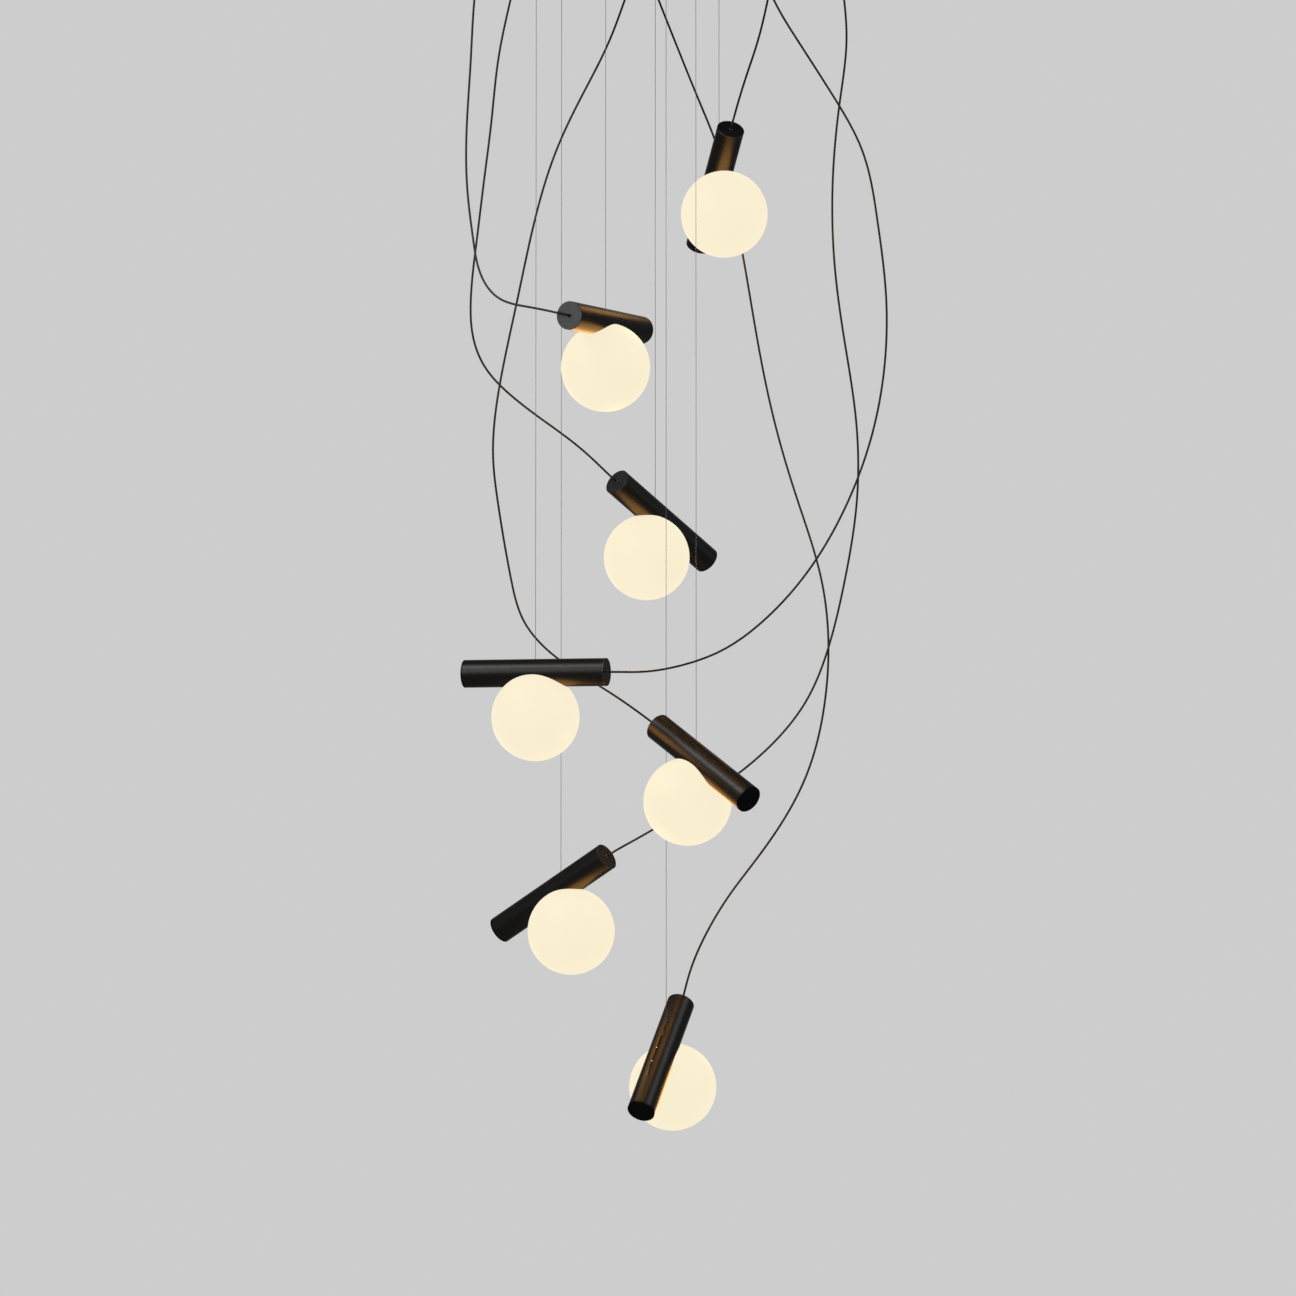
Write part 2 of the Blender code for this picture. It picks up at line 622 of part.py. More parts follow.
def pendant_frame(number, wire_place, drop, heading, rise):
    """Empty at the ball's centre, X along the tube to its cord end and Z out through the slot."""
    frame = bpy.data.objects.new(f"pendant_{number}_frame", None)
    PARTS.objects.link(frame)
    frame.location = (*wire_place, -drop)
    frame.rotation_euler = (0, -math.radians(rise), math.radians(heading))
    return frame


def build_pendants(meshes):
    """The seven pendants, each hung where its centre of mass is plumb below its ball."""
    for number, (place_shares, drop_share, heading, rise) in enumerate(PENDANT_SHARES, 1):
        wire_place = [share * CLUSTER_RADIUS for share in place_shares]
        drop = drop_share * LONGEST_DROP
        frame = pendant_frame(number, wire_place, drop, heading, rise)
        slot_place = BALANCE_DROP * math.tan(math.radians(rise))
        axis_centre = Vector((-slot_place, 0, -PIVOT_HEIGHT))
        half = Vector((PENDANT_LENGTH / 2, 0, 0))
        put(f"tube_{number}", meshes["tube"], frame, axis_centre)
        put(f"cord_cap_{number}", meshes["cord_cap"], frame, axis_centre + half, (0, math.pi / 2, 0))
        put(f"end_cap_{number}", meshes["end_cap"], frame, axis_centre - half, (0, -math.pi / 2, 0))
        put(f"globe_{number}", meshes["globe"], frame, axis_centre - Vector((0, 0, GLOBE_OFFSET)))
        put(f"light_module_{number}", meshes["module"], frame, axis_centre)
        put(f"slider_{number}", meshes["slider"], frame)
        put(f"wire_{number}", wire_mesh(drop), None, frame.location)
        bpy.context.view_layer.update()
        cap_face = frame.matrix_world @ (axis_centre + half)
        outward = frame.matrix_world.to_3x3() @ Vector((1, 0, 0))
        entry = [share * CANOPY_RADIUS for share in CORD_ENTRY_SHARES[number - 1]]
        cord_object(f"cord_{number}", entry, CORD_ROUTES[number - 1], cap_face, outward)


def build_ceiling_parts():
    """Canopy, ceiling bar, driver and terminal block."""
    wire_places = [[share * CLUSTER_RADIUS for share in pendant[0]] for pendant in PENDANT_SHARES]
    cord_places = [[share * CANOPY_RADIUS for share in shares] for shares in CORD_ENTRY_SHARES]
    under_bar = -BAR_THICKNESS - SEAT_GAP
    put("canopy", canopy_mesh(wire_places, cord_places))
    put("ceiling_bar", bar_mesh())
    put("driver", driver_mesh(), None, (DRIVER_PLACE_SHARE * CANOPY_RADIUS, 0, under_bar))
    put("terminal_block", terminal_mesh(), None, (TERMINAL_PLACE_SHARE * CANOPY_RADIUS, 0, under_bar))


def main():
    meshes = {
        "tube": tube_mesh(),
        "cord_cap": cap_mesh("cord_cap", "cap_grey", CORD_RADIUS + SEAT_GAP),
        "end_cap": cap_mesh("end_cap", "cap_black"),
        "globe": globe_mesh(),
        "module": module_mesh(),
        "slider": slider_mesh(),
    }
    build_pendants(meshes)
    build_ceiling_parts()
    clear_helpers()


main()
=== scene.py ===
"""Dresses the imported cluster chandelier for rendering: seven tube-and-globe pendants under one canopy."""

import math

import bmesh
import bpy
import numpy as np
from mathutils import Matrix, Vector

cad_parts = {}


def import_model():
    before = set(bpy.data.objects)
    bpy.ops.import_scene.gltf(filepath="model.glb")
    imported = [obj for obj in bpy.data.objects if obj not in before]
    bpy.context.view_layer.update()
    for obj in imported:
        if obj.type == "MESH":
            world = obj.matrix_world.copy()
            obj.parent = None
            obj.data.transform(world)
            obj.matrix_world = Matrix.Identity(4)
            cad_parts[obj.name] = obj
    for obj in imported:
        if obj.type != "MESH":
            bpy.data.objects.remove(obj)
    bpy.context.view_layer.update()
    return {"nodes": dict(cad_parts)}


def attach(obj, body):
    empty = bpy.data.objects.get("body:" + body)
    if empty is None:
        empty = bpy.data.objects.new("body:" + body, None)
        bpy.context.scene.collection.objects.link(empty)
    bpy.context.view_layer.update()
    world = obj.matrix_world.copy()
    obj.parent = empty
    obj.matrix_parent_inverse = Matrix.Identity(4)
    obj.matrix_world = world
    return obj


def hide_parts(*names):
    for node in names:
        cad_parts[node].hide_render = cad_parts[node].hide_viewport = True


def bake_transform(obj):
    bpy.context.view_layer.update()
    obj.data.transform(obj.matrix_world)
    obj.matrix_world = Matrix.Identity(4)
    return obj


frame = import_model()
scene = bpy.context.scene
scene.view_settings.view_transform = "Standard"

# Sizes repeated from the part, in metres
SEAT_GAP = 0.0003
TUBE_RADIUS = 0.019
TUBE_WALL = 0.0015
PENDANT_LENGTH = 0.203
CAP_FACE = 0.002
SPIGOT_DEPTH = 0.006
SLOT_LENGTH = 0.102
SLOT_WIDTH = 0.0026
GLOBE_RADIUS = 0.060
GLASS_WALL = 0.0025
NECK_RADIUS = 0.013
PIVOT_HEIGHT = 0.013
BALL_RADIUS = 0.0025
FERRULE_RADIUS = 0.0016
FERRULE_LENGTH = 0.006
BALANCE_DROP = 0.0394
LONGEST_DROP = 1.527
CLUSTER_RADIUS = 0.180
CANOPY_RADIUS = 0.270
CANOPY_HEIGHT = 0.045
CANOPY_WALL = 0.0015
CANOPY_FILLET = 0.006
GRIP_RADIUS = 0.004
GRIP_LENGTH = 0.009
GLAND_RADIUS = 0.005
GLAND_LENGTH = 0.009
CORD_RADIUS = 0.0015
CORD_STRAIGHT = 0.014
CORD_INSIDE = 0.006
PAN_FLOOR = -CANOPY_HEIGHT + CANOPY_WALL

# Place in the cluster and drop as shares, heading and rise in degrees
PENDANT_SHARES = (
    ((0.459, 0.308), 0.2117, -73.1, 45),
    ((-0.406, -0.810), 0.3673, -118.0, 0),
    ((-0.032, 0.818), 0.5217, -136.0, 30),
    ((-0.938, -0.311), 0.6735, -16.6, 0),
    ((0.274, -0.381), 0.7476, 133.8, 30),
    ((-0.756, 0.345), 0.8631, -31.8, 30),
    ((0.050, 0.194), 1.0, 67.5, 45),
)
# Places of the cords' glands as shares of the canopy's radius
CORD_ENTRY_SHARES = (
    (0.593, 0.107),
    (-0.915, -0.156),
    (-0.730, 0.222),
    (0.481, -0.285),
    (-0.107, -0.011),
    (0.922, 0.111),
    (-0.067, 0.222),
)
# Points along each free cord, from the canopy down
CORD_ROUTES = (
    ((0.149, 0.025, -0.109), (0.136, 0.019, -0.163), (0.118, 0.013, -0.219)),
    ((-0.254, -0.050, -0.122), (-0.258, -0.065, -0.204), (-0.262, -0.090, -0.290), (-0.260, -0.130, -0.392),
     (-0.251, -0.160, -0.463), (-0.237, -0.190, -0.520), (-0.210, -0.213, -0.551), (-0.173, -0.227, -0.562)),
    ((-0.208, 0.059, -0.103), (-0.224, 0.055, -0.184), (-0.233, 0.050, -0.269), (-0.243, 0.045, -0.353),
     (-0.253, 0.041, -0.438), (-0.261, 0.039, -0.521), (-0.257, 0.041, -0.576), (-0.243, 0.045, -0.611),
     (-0.208, 0.053, -0.650), (-0.162, 0.065, -0.685), (-0.110, 0.080, -0.723)),
    ((0.157, -0.075, -0.126), (0.188, -0.071, -0.178), (0.240, -0.065, -0.259), (0.276, -0.061, -0.327),
     (0.297, -0.057, -0.423), (0.309, -0.055, -0.532), (0.309, -0.055, -0.587), (0.294, -0.057, -0.697),
     (0.257, -0.063, -0.806), (0.192, -0.071, -0.916), (0.141, -0.077, -0.971), (0.084, -0.083, -1.012),
     (0.027, -0.087, -1.033), (-0.020, -0.088, -1.041)),
    ((-0.049, -0.001, -0.113), (-0.069, 0.001, -0.166), (-0.110, 0.005, -0.248), (-0.142, 0.007, -0.317),
     (-0.172, 0.010, -0.414), (-0.196, 0.013, -0.524), (-0.219, 0.015, -0.635), (-0.229, 0.017, -0.745),
     (-0.223, 0.017, -0.800), (-0.204, 0.015, -0.910), (-0.187, 0.012, -0.966), (-0.154, 0.008, -1.007),
     (-0.109, 0.003, -1.040), (-0.053, -0.003, -1.076)),
    ((0.256, 0.033, -0.107), (0.259, 0.035, -0.160), (0.250, 0.039, -0.243), (0.240, 0.045, -0.353),
     (0.242, 0.051, -0.464), (0.256, 0.055, -0.575), (0.272, 0.057, -0.686), (0.273, 0.057, -0.797),
     (0.256, 0.055, -0.908), (0.232, 0.052, -1.005), (0.203, 0.049, -1.074), (0.161, 0.045, -1.129),
     (0.104, 0.041, -1.179), (0.042, 0.036, -1.221), (-0.011, 0.030, -1.254)),
    ((0.000, 0.070, -0.101), (0.021, 0.083, -0.152), (0.055, 0.103, -0.233), (0.085, 0.117, -0.308),
     (0.103, 0.123, -0.378), (0.118, 0.125, -0.455), (0.137, 0.121, -0.568), (0.160, 0.113, -0.681),
     (0.192, 0.103, -0.793), (0.225, 0.091, -0.906), (0.234, 0.081, -0.990), (0.229, 0.071, -1.073),
     (0.200, 0.057, -1.184), (0.132, 0.043, -1.295), (0.091, 0.035, -1.350), (0.053, 0.023, -1.418)),
)
# Lengths of the cord's three lower pieces, from the cap up, one each for the slide, the tilt and the swivel
CORD_BENDS = (
    (0.043, 0.095, 0.080),
    (0.069, 0.248, 0.300),
    (0.128, 0.379, 0.280),
    (0.096, 0.533, 0.579),
    (0.101, 0.466, 0.597),
    (0.134, 0.459, 0.769),
    (0.078, 0.586, 0.869),
)

# Sizes of the finer pieces, in metres
WIRE_RADIUS = 0.00035
RIM_CHAMFER = 0.00025
TUBE_GAP = 0.00025
SPIGOT_GAP = 0.0002
SLOT_OVERRUN = 0.003
LEAST_REACH = 0.00001
CORD_HOLE_RADIUS = 0.0017
SINK_WIDTH = 0.0006
SINK_DEPTH = 0.0012
BUSH_GAP = 0.00008
BUSH_RISE = 0.0008
FERRULE_CHAMFER = 0.0004
# Painted glints: small glowing dots on the slot's far wall, in place of the module's light falling on it
PAINTED_GLINT_RADIUS = 0.0007
PAINTED_GLINT_CHAMFER = 0.0001
PAINTED_GLINT_HEIGHT = 0.00005
PAINTED_GLINT_INSET = 0.00002
PAINTED_GLINT_PLACES = {"left": -0.0244, "right": 0.0005}
CEILING_GAP = 0.0003
FITTING_GAP = 0.0001
WIRE_HOLE_GAP = 0.0002
CORD_HOLE_GAP = 0.0003
HOLE_OVERRUN = 0.01
GRIP_BORE = 0.0005
GLAND_BORE = 0.0018
CORD_PITCH = 0.006
BEND_REACH = 0.018
BEND_END = 0.002
FLOOR_RADIUS = 3.2
FLOOR_DEPTH = 6.0

# Outlines of the small turned pieces, as (radius, height) from the cap's face or the canopy's floor
BUSH_OUTLINE = ((0.0019, 0.0009), (0.0025, 0.0005), (0.0026, 0.00005), (0.0017, -0.0002), (0.00165, -0.006))
GRIP_OUTLINE = ((GRIP_RADIUS, 0), (GRIP_RADIUS, -0.0055), (0.0036, -0.006), (0.0026, -0.0062),
                (0.0026, -0.0084), (0.0020, -GRIP_LENGTH))
GLAND_OUTLINE = ((GLAND_RADIUS, 0), (GLAND_RADIUS, -0.003), (0.0044, -0.0034), (0.0044, -0.0072),
                 (0.0030, -GLAND_LENGTH))

# Fineness of the facets
BACK_LINES = 81
SCOOP_LINES = 57
TUBE_STEPS = 8
CORD_SIDES = 14
BEND_STEPS = 10

# Camera of the photograph
VIEW_CENTRE = Vector((-0.016, -0.005, -1.005))
VIEW_DISTANCE = 7.0
VIEW_PITCH = math.radians(2.8)
LENS_MM = 142.0

# Lights: azimuth from +Y towards +X and elevation in degrees, width and height in metres, watts
SOFTBOXES = {
    "softbox_low_left": ((-135, 17), (1.75, 1.8), 74),
    "softbox_high_left": ((-121, 46), (2.0, 1.4), 142),
    "softbox_right": ((95, 39), (1.4, 1.8), 56),
    "softbox_low_right": ((96, 4), (1.0, 1.3), 7),
}
SOFTBOX_DISTANCE = 3.8
SOFTBOX_AIM = Vector((0, 0, -0.95))
WORLD_LIGHT = 0.32
LAMP_RADIUS = 0.0595
LAMP_WATTS = 2.1

# Looks, as linear colours
BACKGROUND = (0.6105, 0.6105, 0.6105)
FLOOR_GLOW = (0.28, 0.28, 0.28)
GLOW = (0.935, 0.842, 0.622)
LAMP = (1.0, 0.485, 0.125)
# Painted light: a dim warm glow on the slot's walls in place of the light inside the tube
SLOT_PAINTED_LIGHT = (0.11, 0.042, 0.010)
# Glow of the painted glints on the slot's wall
PAINTED_GLINT_STRENGTH = 2.2
# Depths below the tube's skin where the globe's glow starts and ends its fade
FADE_START = 0.0022
FADE_END = 0.0006
# Margins of the slot's painted light that take in the slot's walls and leave out the tube's skin
SLOT_END_MARGIN = 0.0005
SLOT_SIDE_MARGIN = 0.0001
SKIN_MARGIN = 0.0001


def camera():
    """Camera that sees the lamp as the photograph does."""
    data = bpy.data.cameras.new("camera")
    data.lens = LENS_MM
    data.sensor_width = 36
    data.clip_end = 60
    obj = bpy.data.objects.new("camera", data)
    back = Vector((0, -math.cos(VIEW_PITCH), -math.sin(VIEW_PITCH)))
    obj.location = VIEW_CENTRE + VIEW_DISTANCE * back
    obj.rotation_euler = (math.pi / 2 + VIEW_PITCH, 0, 0)
    scene.collection.objects.link(obj)
    scene.camera = obj


def seen_rays(nodes, links):
    """Socket that is 1 for camera, glossy and transmission rays and 0 for the rest."""
    path = nodes.new("ShaderNodeLightPath")
    shown = path.outputs["Is Camera Ray"]
    for ray in ("Is Glossy Ray", "Is Transmission Ray"):
        either = nodes.new("ShaderNodeMath")
        either.operation = "MAXIMUM"
        links.new(shown, either.inputs[0])
        links.new(path.outputs[ray], either.inputs[1])
        shown = either.outputs[0]
    return shown


def world():
    """Pale background for the camera and reflections, dimmer white light for everything else."""
    made = bpy.data.worlds.new("studio")
    scene.world = made
    made.use_nodes = True
    nodes, links = made.node_tree.nodes, made.node_tree.links
    nodes.clear()
    out = nodes.new("ShaderNodeOutputWorld")
    mix = nodes.new("ShaderNodeMixShader")
    light = nodes.new("ShaderNodeBackground")
    light.inputs["Color"].default_value = (1, 1, 1, 1)
    light.inputs["Strength"].default_value = WORLD_LIGHT
    seen = nodes.new("ShaderNodeBackground")
    seen.inputs["Color"].default_value = (*BACKGROUND, 1)
    links.new(seen_rays(nodes, links), mix.inputs["Fac"])
    links.new(light.outputs[0], mix.inputs[1])
    links.new(seen.outputs[0], mix.inputs[2])
    links.new(mix.outputs[0], out.inputs["Surface"])


def softbox(name, direction, size, watts):
    """Area lamp in a given direction, aimed at the cluster."""
    azimuth, elevation = (math.radians(v) for v in direction)
    level, rise = SOFTBOX_DISTANCE * math.cos(elevation), SOFTBOX_DISTANCE * math.sin(elevation)
    place = SOFTBOX_AIM + Vector((level * math.sin(azimuth), level * math.cos(azimuth), rise))
    data = bpy.data.lights.new(name, "AREA")
    data.shape = "RECTANGLE"
    data.size, data.size_y = size
    data.energy = watts
    obj = bpy.data.objects.new(name, data)
    obj.location = place
    obj.rotation_euler = (place - SOFTBOX_AIM).to_track_quat("Z", "Y").to_euler()
    scene.collection.objects.link(obj)


def shader(name, colour, rough, vary, grain, metallic=0.0, bump=0.05, rough_vary=0.06, stretch=(1, 1, 1)):
    """Principled material whose colour, roughness and bump follow procedural noise at the given grain."""
    made = bpy.data.materials.new(name)
    made.use_nodes = True
    nodes, links = made.node_tree.nodes, made.node_tree.links
    bsdf = nodes["Principled BSDF"]
    bsdf.inputs["Metallic"].default_value = metallic
    place = nodes.new("ShaderNodeTexCoord")
    scale = nodes.new("ShaderNodeMapping")
    scale.inputs["Scale"].default_value = stretch
    links.new(place.outputs["Object"], scale.inputs["Vector"])
    broad = nodes.new("ShaderNodeTexNoise")
    broad.inputs["Scale"].default_value = grain / 12
    broad.inputs["Detail"].default_value = 4
    fine = nodes.new("ShaderNodeTexNoise")
    fine.inputs["Scale"].default_value = grain
    fine.inputs["Detail"].default_value = 6
    fine.inputs["Roughness"].default_value = 0.6
    for noise in (broad, fine):
        links.new(scale.outputs[0], noise.inputs["Vector"])
    ramp = nodes.new("ShaderNodeValToRGB")
    for stop, share in zip(ramp.color_ramp.elements, (1 - vary, 1 + vary)):
        stop.color = (*(c * share for c in colour), 1)
    ramp.color_ramp.elements[0].position = 0.3
    ramp.color_ramp.elements[1].position = 0.7
    links.new(broad.outputs["Fac"], ramp.inputs["Fac"])
    links.new(ramp.outputs["Color"], bsdf.inputs["Base Color"])
    gloss = nodes.new("ShaderNodeMapRange")
    gloss.inputs["To Min"].default_value = rough - rough_vary
    gloss.inputs["To Max"].default_value = rough + rough_vary
    links.new(fine.outputs["Fac"], gloss.inputs["Value"])
    links.new(gloss.outputs[0], bsdf.inputs["Roughness"])
    relief = nodes.new("ShaderNodeBump")
    relief.inputs["Strength"].default_value = bump
    relief.inputs["Distance"].default_value = 0.0003
    links.new(fine.outputs["Fac"], relief.inputs["Height"])
    links.new(relief.outputs[0], bsdf.inputs["Normal"])
    return made


def object_place(nodes):
    """Socket of the object coordinates that a shader's material already has."""
    return next(node for node in nodes if node.type == "TEX_COORD").outputs["Object"]


def opal():
    """Lit opal glass: a flat warm glow with faint clouds under a thin sheen."""
    made = shader("opal_glow", (0.015, 0.0135, 0.011), rough=0.50, vary=0.05, grain=60, bump=0.0,
                  rough_vary=0.02)
    nodes, links = made.node_tree.nodes, made.node_tree.links
    bsdf = nodes["Principled BSDF"]
    cloud = nodes.new("ShaderNodeTexNoise")
    cloud.inputs["Scale"].default_value = 14
    place = object_place(nodes)
    links.new(place, cloud.inputs["Vector"])
    ramp = nodes.new("ShaderNodeValToRGB")
    for stop, share in zip(ramp.color_ramp.elements, (0.985, 1.012)):
        stop.color = (*(c * share for c in GLOW), 1)
    links.new(cloud.outputs["Fac"], ramp.inputs["Fac"])
    bsdf.inputs["Emission Strength"].default_value = 1.0
    bsdf.inputs["Specular IOR Level"].default_value = 0.05
    bsdf.inputs["Sheen Weight"].default_value = 0.25
    bsdf.inputs["Sheen Roughness"].default_value = 0.25
    masked(nodes, links, place, ramp.outputs["Color"], bsdf.inputs["Emission Color"])
    return made


def masked(nodes, links, place, colour, target):
    """Feeds a colour on, but black inside the tube, whose axis touches the globe's top."""
    axes = nodes.new("ShaderNodeSeparateXYZ")
    links.new(place, axes.inputs[0])
    across = nodes.new("ShaderNodeCombineXYZ")
    height = nodes.new("ShaderNodeMath")
    height.operation = "SUBTRACT"
    height.inputs[1].default_value = GLOBE_RADIUS
    links.new(axes.outputs["Z"], height.inputs[0])
    links.new(axes.outputs["Y"], across.inputs["X"])
    links.new(height.outputs[0], across.inputs["Y"])
    reach = nodes.new("ShaderNodeVectorMath")
    reach.operation = "LENGTH"
    links.new(across.outputs[0], reach.inputs[0])
    edge = nodes.new("ShaderNodeMapRange")
    edge.inputs["From Min"].default_value = TUBE_RADIUS - FADE_START
    edge.inputs["From Max"].default_value = TUBE_RADIUS - FADE_END
    links.new(reach.outputs["Value"], edge.inputs["Value"])
    dim = nodes.new("ShaderNodeVectorMath")
    dim.operation = "SCALE"
    links.new(colour, dim.inputs[0])
    links.new(edge.outputs[0], dim.inputs["Scale"])
    links.new(dim.outputs[0], target)


def glow_material(name, colour, strength):
    """Plain material that gives off light of its own colour."""
    made = shader(name, colour, rough=0.5, vary=0.05, grain=600, bump=0.0)
    bsdf = made.node_tree.nodes["Principled BSDF"]
    bsdf.inputs["Emission Color"].default_value = (*colour, 1)
    bsdf.inputs["Emission Strength"].default_value = strength
    return made


def dark_metal(name, colour, rough, edge, metallic=1.0):
    """Coated metal, dark face on, whose reflection at a slant is set by the edge's tint."""
    made = shader(name, colour, rough, vary=0.08, grain=1400, metallic=metallic, bump=0.01, rough_vary=0.03)
    bsdf = made.node_tree.nodes["Principled BSDF"]
    bsdf.inputs["Specular Tint"].default_value = (*edge, 1)
    bsdf.inputs["Specular IOR Level"].default_value = 0.0
    return made


def paint_slot_light(made):
    """Paints a dim warm glow on the slot's side walls, and nothing else of the tube: painted light standing
    in for the warm light inside.
    """
    nodes, links = made.node_tree.nodes, made.node_tree.links
    bsdf = nodes["Principled BSDF"]
    folded = nodes.new("ShaderNodeVectorMath")
    folded.operation = "ABSOLUTE"
    links.new(object_place(nodes), folded.inputs[0])
    room = nodes.new("ShaderNodeVectorMath")
    room.operation = "SUBTRACT"
    room.inputs[0].default_value = (SLOT_LENGTH / 2 + SLOT_END_MARGIN, SLOT_WIDTH / 2 + SLOT_SIDE_MARGIN,
                                    TUBE_RADIUS - SKIN_MARGIN)
    links.new(folded.outputs[0], room.inputs[1])
    axes = nodes.new("ShaderNodeSeparateXYZ")
    links.new(room.outputs[0], axes.inputs[0])
    least = axes.outputs["X"]
    for name in ("Y", "Z"):
        lower = nodes.new("ShaderNodeMath")
        lower.operation = "MINIMUM"
        links.new(least, lower.inputs[0])
        links.new(axes.outputs[name], lower.inputs[1])
        least = lower.outputs[0]
    inside = nodes.new("ShaderNodeMath")
    inside.operation = "GREATER_THAN"
    inside.inputs[1].default_value = 0.0
    links.new(least, inside.inputs[0])
    bsdf.inputs["Emission Color"].default_value = (*SLOT_PAINTED_LIGHT, 1)
    links.new(inside.outputs[0], bsdf.inputs["Emission Strength"])


def smoothed(mesh, angle=30):
    """The mesh shaded smooth, with edges kept sharp past an angle in degrees."""
    mesh.shade_smooth()
    mesh.set_sharp_from_angle(angle=math.radians(angle))
    return mesh


def finished(cage, name):
    """Mesh made from a bmesh, which is freed."""
    mesh = bpy.data.meshes.new(name)
    cage.to_mesh(mesh)
    cage.free()
    return mesh


def revolved(name, outline, sides, closed=False):
    """Mesh of revolution about Z from (radius, height) points; points on the axis become poles."""
    cage = bmesh.new()
    turns = [2 * math.pi * i / sides for i in range(sides)]
    rings = []
    for radius, height in outline:
        ring = [(radius * math.cos(a), radius * math.sin(a), height) for a in turns]
        rings.append([cage.verts.new(place) for place in (ring if radius else [(0, 0, height)])])
    pairs = list(zip(rings, rings[1:])) + ([(rings[-1], rings[0])] if closed else [])
    for first, second in pairs:
        for i in range(sides):
            j = (i + 1) % sides
            there = [first[i % len(first)], second[i % len(second)]]
            back = [second[j % len(second)], first[j % len(first)]]
            cage.faces.new(list(dict.fromkeys(there + back)))
    bmesh.ops.recalc_face_normals(cage, faces=cage.faces)
    return smoothed(finished(cage, name))


def arc(radius, start, end, steps, centre=(0.0, 0.0)):
    """Points along an arc in the plane of an outline."""
    angles = (start + (end - start) * i / steps for i in range(steps + 1))
    return [(centre[0] + radius * math.cos(a), centre[1] + radius * math.sin(a)) for a in angles]


def prism(name, outline, low, high):
    """Straight-sided solid over a flat outline in XY."""
    cage = bmesh.new()
    base = [cage.verts.new((x, y, low)) for x, y in outline]
    face = cage.faces.new(base)
    top = bmesh.ops.extrude_face_region(cage, geom=[face])
    moved = [v for v in top["geom"] if isinstance(v, bmesh.types.BMVert)]
    bmesh.ops.translate(cage, vec=(0, 0, high - low), verts=moved)
    bmesh.ops.recalc_face_normals(cage, faces=cage.faces)
    return finished(cage, name)


def cut(mesh, cutters):
    """The mesh less the cutter meshes."""
    body = bpy.data.objects.new("cut_body", mesh)
    scene.collection.objects.link(body)
    tools = []
    for cutter in cutters:
        tool = bpy.data.objects.new("cut_tool", cutter)
        scene.collection.objects.link(tool)
        tools.append(tool)
        modifier = body.modifiers.new("cut", "BOOLEAN")
        modifier.operation = "DIFFERENCE"
        modifier.object = tool
    bpy.context.view_layer.update()
    made = bpy.data.meshes.new_from_object(body.evaluated_get(bpy.context.evaluated_depsgraph_get()))
    for obj in [body, *tools]:
        bpy.data.objects.remove(obj)
    return made


def piece(name, mesh, finish, body, matrix, replaces=()):
    """A dressed piece that rides on a body of the part."""
    if not mesh.materials:
        mesh.materials.append(finish)
    obj = bpy.data.objects.new(name, mesh)
    scene.collection.objects.link(obj)
    obj.matrix_world = matrix
    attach(obj, body)
    if replaces:
        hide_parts(*replaces)
    return obj


def refinish(node, finish):
    """Gives a node that is carried over from the part a material of its own."""
    materials = frame["nodes"][node].data.materials
    materials.clear()
    materials.append(finish)


def wall_strips(cage, radius, end):
    """One wall of the tube in strips that stop at the globe's curve: rows of vertices, by side and angle."""
    scoop = GLOBE_RADIUS + SEAT_GAP
    first = math.acos((scoop**2 - GLOBE_RADIUS**2 - radius**2) / (2 * GLOBE_RADIUS * radius))
    upper = np.linspace(-first, first, BACK_LINES)
    lower = first + (math.pi - first) * (1 - np.cos(np.linspace(0, math.pi, SCOOP_LINES)[1:-1]))
    rows = {-1: [], 1: []}
    for angle in (*upper, *lower):
        y, z = radius * math.sin(angle), radius * math.cos(angle)
        reach = math.sqrt(max(0, scoop**2 - y**2 - (z + GLOBE_RADIUS) ** 2))
        shared = cage.verts.new((0, y, z)) if reach < LEAST_REACH else None
        for side, made in rows.items():
            near = shared or cage.verts.new((side * reach, y, z))
            steps = ((reach + (end - reach) * k / TUBE_STEPS) for k in range(1, TUBE_STEPS + 1))
            made.append([near] + [cage.verts.new((side * x, y, z)) for x in steps])
    return rows


def tube_mesh():
    """Tube along X with fine rims, the globe's scoop below and the slot along its back."""
    half = PENDANT_LENGTH / 2 - CAP_FACE - TUBE_GAP
    bore = TUBE_RADIUS - TUBE_WALL
    cage = bmesh.new()
    skin, lining = wall_strips(cage, TUBE_RADIUS, half - RIM_CHAMFER), wall_strips(cage, bore, half)
    for side in (-1, 1):
        outer, inner = skin[side], lining[side]
        for row in outer:
            y, z = row[-1].co.yz * (1 - RIM_CHAMFER / TUBE_RADIUS)
            row.append(cage.verts.new((side * half, y, z)))
        for j in range(len(outer)):
            after = (j + 1) % len(outer)
            for row, other in ((outer[j], outer[after]), (inner[j], inner[after])):
                for k in range(len(row) - 1):
                    cage.faces.new((row[k], row[k + 1], other[k + 1], other[k]))
            for end in (0, -1):
                corners = (outer[j][end], outer[after][end], inner[after][end], inner[j][end])
                if end == -1 or abs(corners[0].co.x) + abs(corners[1].co.x) > LEAST_REACH:
                    cage.faces.new(corners)
    bmesh.ops.recalc_face_normals(cage, faces=cage.faces)
    tube = finished(cage, "tube")
    centre = (SLOT_LENGTH / 2 - SLOT_WIDTH / 2, 0)
    right = arc(SLOT_WIDTH / 2, -math.pi / 2, math.pi / 2, steps=12, centre=centre)
    outline = right + [(-x, -y) for x, y in right]
    slot = prism("slot", outline, bore - SLOT_OVERRUN, TUBE_RADIUS + SLOT_OVERRUN)
    return smoothed(cut(tube, [slot]), angle=28)


